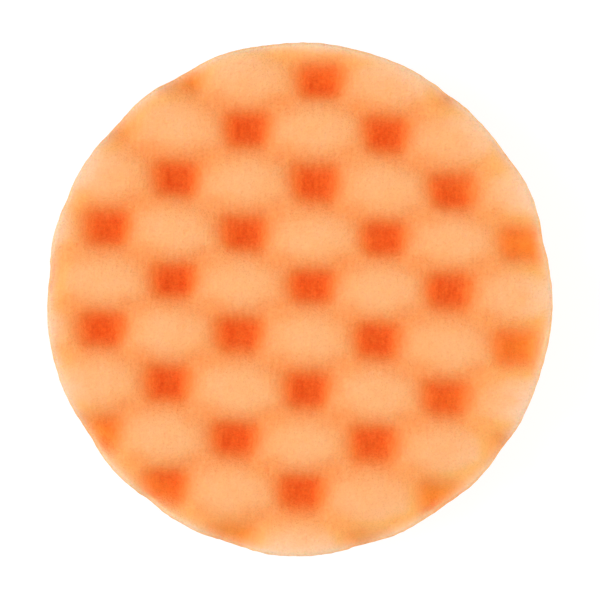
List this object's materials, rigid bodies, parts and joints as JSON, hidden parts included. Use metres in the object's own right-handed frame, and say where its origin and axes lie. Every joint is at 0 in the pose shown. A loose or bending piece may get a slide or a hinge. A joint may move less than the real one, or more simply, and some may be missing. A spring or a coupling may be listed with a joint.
{
  "type": "foam polishing pad",
  "caption": "Round waffle-faced foam polishing pad with a loop-pile back that grips a machine polisher's backing plate.",
  "frame": {"origin": "centre of the loop-pile face, on the pad's spin axis", "axes": "+Z along the spin axis, from the loop pile to the waffle face; +X along the wider pitch of the waffle pits, +Y along the narrower one"},
  "size_m": [0.15, 0.15, 0.0269],
  "materials": {
    "foam": "matte",
    "film": "satin",
    "ground_cloth": "matte",
    "pile": "matte"
  },
  "bodies": {
    "root": {"waffle_foam": "foam", "bonding_film": "film", "loop_ground_cloth": "ground_cloth", "loop_pile": "pile"}
  },
  "joints": []
}
